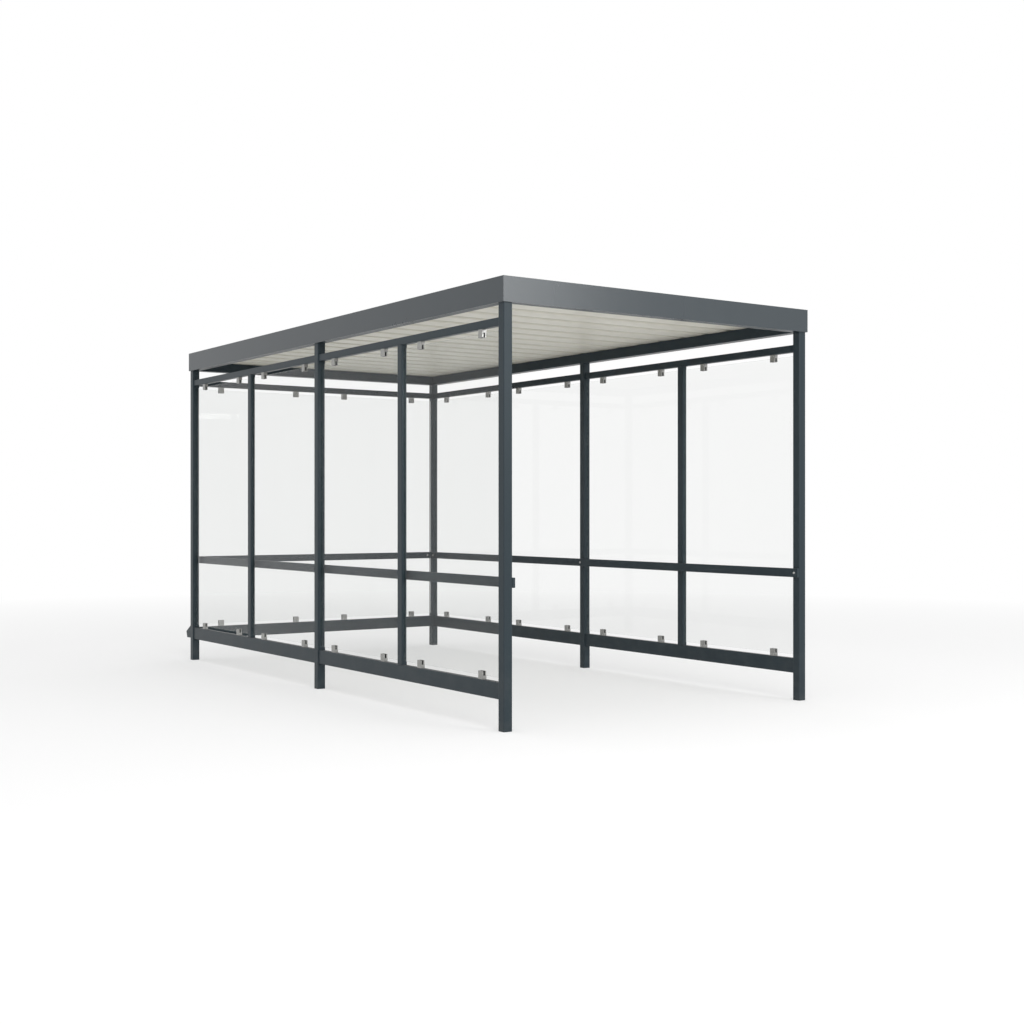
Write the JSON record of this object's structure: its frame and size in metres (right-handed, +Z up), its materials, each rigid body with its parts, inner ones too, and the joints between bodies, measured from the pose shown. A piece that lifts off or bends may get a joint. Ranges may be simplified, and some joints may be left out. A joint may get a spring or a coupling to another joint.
{
  "type": "shopping cart shelter",
  "caption": "Flat-roofed shelter for parked shopping carts: square-tube steel frame, clamped glass on the long sides and back, open front, bump rail round the inside.",
  "frame": {"origin": "middle of the whole footprint, at ground level", "axes": "+Z up, -Y towards the open front, +X to the right as seen when walking in"},
  "size_m": [2.5, 4.995, 2.66],
  "materials": {
    "frame_paint": "semi-gloss slate-grey powder coat on steel tube",
    "trim_paint": "semi-gloss slate-grey coat on folded steel sheet",
    "sheet_paint": "satin light warm-grey coil coat on ribbed steel sheet",
    "pane_glass": "clear toughened glass, polished edges",
    "clamp_metal": "satin",
    "gasket_rubber": "matt black rubber"
  },
  "bodies": {
    "root": {"post_front_left": "frame_paint", "post_mid_left": "frame_paint", "post_rear_left": "frame_paint", "post_front_right": "frame_paint", "post_mid_right": "frame_paint", "post_rear_right": "frame_paint", "roof_beam_left": "frame_paint", "roof_beam_right": "frame_paint", "roof_beam_front": "frame_paint", "roof_beam_back": "frame_paint", "roof_sheet": "sheet_paint", "edge_trim_left": "trim_paint", "edge_trim_right": "trim_paint", "edge_trim_front": "trim_paint", "edge_trim_back": "trim_paint", "upper_rail_left_front": "frame_paint", "upper_rail_left_rear": "frame_paint", "upper_rail_right_front": "frame_paint", "upper_rail_right_rear": "frame_paint", "upper_rail_back": "frame_paint", "lower_rail_left_front": "frame_paint", "lower_rail_left_rear": "frame_paint", "lower_rail_right_front": "frame_paint", "lower_rail_right_rear": "frame_paint", "lower_rail_back": "frame_paint", "mullion_left_front": "frame_paint", "mullion_left_rear": "frame_paint", "mullion_right_front": "frame_paint", "mullion_right_rear": "frame_paint", "mullion_back": "frame_paint", "bump_rail_left": "frame_paint", "bump_rail_right": "frame_paint", "bump_rail_back": "frame_paint", "bump_rail_caps": "frame_paint", "glass_panes_left": "pane_glass", "glass_panes_right": "pane_glass", "glass_panes_back": "pane_glass", "glass_clamps_left": "clamp_metal", "glass_clamps_right": "clamp_metal", "glass_clamps_back": "clamp_metal", "clamp_gaskets_left": "gasket_rubber", "clamp_gaskets_right": "gasket_rubber", "clamp_gaskets_back": "gasket_rubber", "rain_spout": "frame_paint"}
  },
  "joints": []
}
